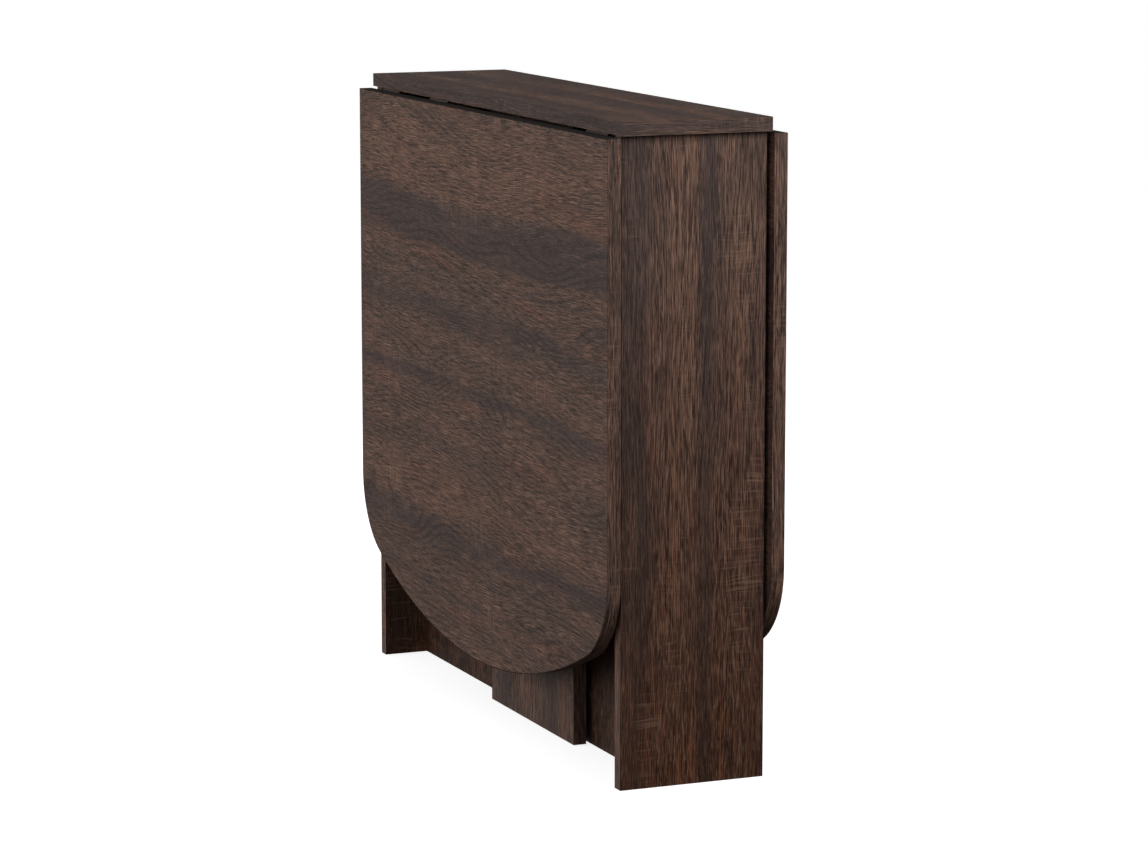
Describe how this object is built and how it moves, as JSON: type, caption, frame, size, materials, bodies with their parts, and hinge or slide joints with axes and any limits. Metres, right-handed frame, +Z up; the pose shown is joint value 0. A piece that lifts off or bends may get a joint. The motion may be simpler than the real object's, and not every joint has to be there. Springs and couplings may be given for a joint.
{
  "type": "gateleg table",
  "caption": "Folded gateleg table in dark oak decor: narrow fixed top on two end panels, round-ended drop leaves each side and swinging gate legs behind them.",
  "frame": {"origin": "on the floor, under the middle of the folded table", "axes": "+X along the hinge lines towards the right end panel, -Y towards the front leaf, +Z up"},
  "size_m": [0.8, 0.2168, 0.75],
  "materials": {
    "dark_oak_board": "matt dark oak decor on chipboard, fine grain relief",
    "edge_band": "matt plastic edge banding in the same dark oak decor",
    "hinge_plate": "pressed sheet steel with a dark bronzed finish",
    "hinge_pin": "drawn steel wire, bronzed",
    "screw": "cold-headed steel screw, bronzed",
    "cam_bolt": "zinc plated turned steel",
    "zinc_cam": "bright die-cast zinc alloy",
    "beech_dowel": "raw fluted beech, drawn smooth"
  },
  "bodies": {
    "base": {"fixed_top": "dark_oak_board", "fixed_top_edging": "edge_band", "left_end_panel": "dark_oak_board", "left_panel_edging": "edge_band", "right_end_panel": "dark_oak_board", "right_panel_edging": "edge_band", "front_spine_panel": "dark_oak_board", "rear_spine_panel": "dark_oak_board", "cam_locks": "zinc_cam", "cam_bolts": "cam_bolt", "dowels": "beech_dowel", "front_far_top_plate": "hinge_plate", "front_mid_top_plate": "hinge_plate", "front_near_top_plate": "hinge_plate", "rear_far_top_plate": "hinge_plate", "rear_mid_top_plate": "hinge_plate", "rear_near_top_plate": "hinge_plate", "leaf_hinge_pins": "hinge_pin", "front_low_spine_plate": "hinge_plate", "front_high_spine_plate": "hinge_plate", "rear_low_spine_plate": "hinge_plate", "rear_high_spine_plate": "hinge_plate", "gate_hinge_pins": "hinge_pin", "top_hinge_screws": "screw", "spine_hinge_screws": "screw"},
    "front_leaf": {"front_leaf": "dark_oak_board", "front_leaf_edging": "edge_band", "front_far_leaf_plate": "hinge_plate", "front_mid_leaf_plate": "hinge_plate", "front_near_leaf_plate": "hinge_plate", "front_leaf_screws": "screw"},
    "rear_leaf": {"rear_leaf": "dark_oak_board", "rear_leaf_edging": "edge_band", "rear_far_leaf_plate": "hinge_plate", "rear_mid_leaf_plate": "hinge_plate", "rear_near_leaf_plate": "hinge_plate", "rear_leaf_screws": "screw"},
    "front_gate": {"front_gate_leg": "dark_oak_board", "front_gate_edging": "edge_band", "front_low_gate_plate": "hinge_plate", "front_high_gate_plate": "hinge_plate", "front_gate_screws": "screw"},
    "rear_gate": {"rear_gate_leg": "dark_oak_board", "rear_gate_edging": "edge_band", "rear_low_gate_plate": "hinge_plate", "rear_high_gate_plate": "hinge_plate", "rear_gate_screws": "screw"}
  },
  "joints": [
    {"name": "front_leaf_hinge", "type": "hinge", "parent": "base", "child": "front_leaf", "pos_m": [0, -0.09025, 0.7319], "axis": [-1, 0, 0], "range_deg": [0, 90]},
    {"name": "rear_leaf_hinge", "type": "hinge", "parent": "base", "child": "rear_leaf", "pos_m": [0, 0.09025, 0.7319], "axis": [1, 0, 0], "range_deg": [0, 90]},
    {"name": "front_gate_hinge", "type": "hinge", "parent": "base", "child": "front_gate", "pos_m": [-0.088, -0.03525, 0.36], "axis": [0, 0, -1], "range_deg": [0, 8]},
    {"name": "rear_gate_hinge", "type": "hinge", "parent": "base", "child": "rear_gate", "pos_m": [0.088, 0.03525, 0.36], "axis": [0, 0, -1], "range_deg": [0, 8]}
  ]
}
